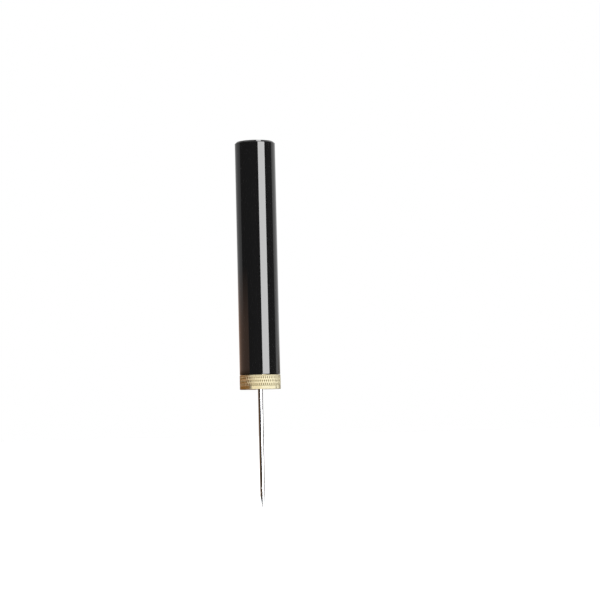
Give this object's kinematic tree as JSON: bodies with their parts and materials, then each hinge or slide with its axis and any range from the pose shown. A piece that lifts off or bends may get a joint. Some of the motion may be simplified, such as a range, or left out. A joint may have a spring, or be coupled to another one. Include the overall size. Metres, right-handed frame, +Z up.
{
  "type": "air-pressure wine opener",
  "caption": "Slim hand pump with a hollow needle below: pushed through a cork, its sliding black handle pumps air under the cork until it rises.",
  "frame": {"origin": "on the tool's axis, on the flat underside of the collar and hub, where the needle comes out", "axes": "+Z up the tool's axis from the needle to the handle's cap; X and Y are equal round it"},
  "size_m": [0.0212, 0.0212, 0.191],
  "materials": {
    "bearing_plastic": "moulded, natural white",
    "black_lacquer": "high-gloss black lacquer",
    "black_rubber": "moulded, matt",
    "brass_turned": "turned",
    "bright_steel": "turned and zinc plated",
    "bronze": "sintered, oil filled",
    "gold": "polished gold plating, satin in the knurl",
    "polished_steel": "ground and polished",
    "red_rubber": "silicone, matt",
    "turned_aluminium": "turned, clear anodised"
  },
  "bodies": {
    "pump": {"barrel": "polished_steel", "barrel_head": "turned_aluminium", "rod_bush": "bronze", "upstroke_bumper": "black_rubber", "closing_bumper": "black_rubber", "base_body": "brass_turned", "base_o_ring": "black_rubber", "valve_seat": "brass_turned", "valve_spring": "bright_steel", "valve_retainer": "brass_turned", "hub_gasket": "red_rubber"},
    "seal": {"piston_seal": "black_rubber"},
    "handle": {"handle_sleeve": "black_lacquer", "top_cap": "black_lacquer", "guide_ring": "bearing_plastic", "piston_rod": "polished_steel", "rod_lock_nut": "bright_steel", "piston_head": "turned_aluminium", "seal_retainer": "bright_steel", "piston_lock_washer": "bright_steel", "piston_screw": "bright_steel"},
    "ball": {"valve_ball": "polished_steel"},
    "needle_unit": {"needle": "polished_steel", "needle_hub": "polished_steel"},
    "collar": {"knurled_collar": "gold"}
  },
  "joints": [
    {"name": "pump_stroke", "type": "slide", "parent": "pump", "child": "seal", "axis": [0, 0, 1], "range_m": [0, 0.0818]},
    {"name": "handle_turn", "type": "hinge", "parent": "seal", "child": "handle", "pos_m": [0, 0, 0], "axis": [0, 0, 1], "continuous": true},
    {"name": "valve_lift", "type": "slide", "parent": "pump", "child": "ball", "axis": [0, 0, -1], "range_m": [0, 0.0012], "stiffness_N_per_m": 150, "springref_m": -0.002, "deforming": ["valve_spring"]},
    {"name": "needle_release", "type": "slide", "parent": "pump", "child": "needle_unit", "axis": [0, 0, -1], "range_m": [0, 0.003]},
    {"name": "collar_turn", "type": "hinge", "parent": "needle_unit", "child": "collar", "pos_m": [0, 0, 0], "axis": [0, 0, -1], "range_deg": [0, 1440]}
  ],
  "couplings": [
    {"joint": "collar_turn", "follows": "needle_release", "rad_per_m": 8377.5}
  ]
}
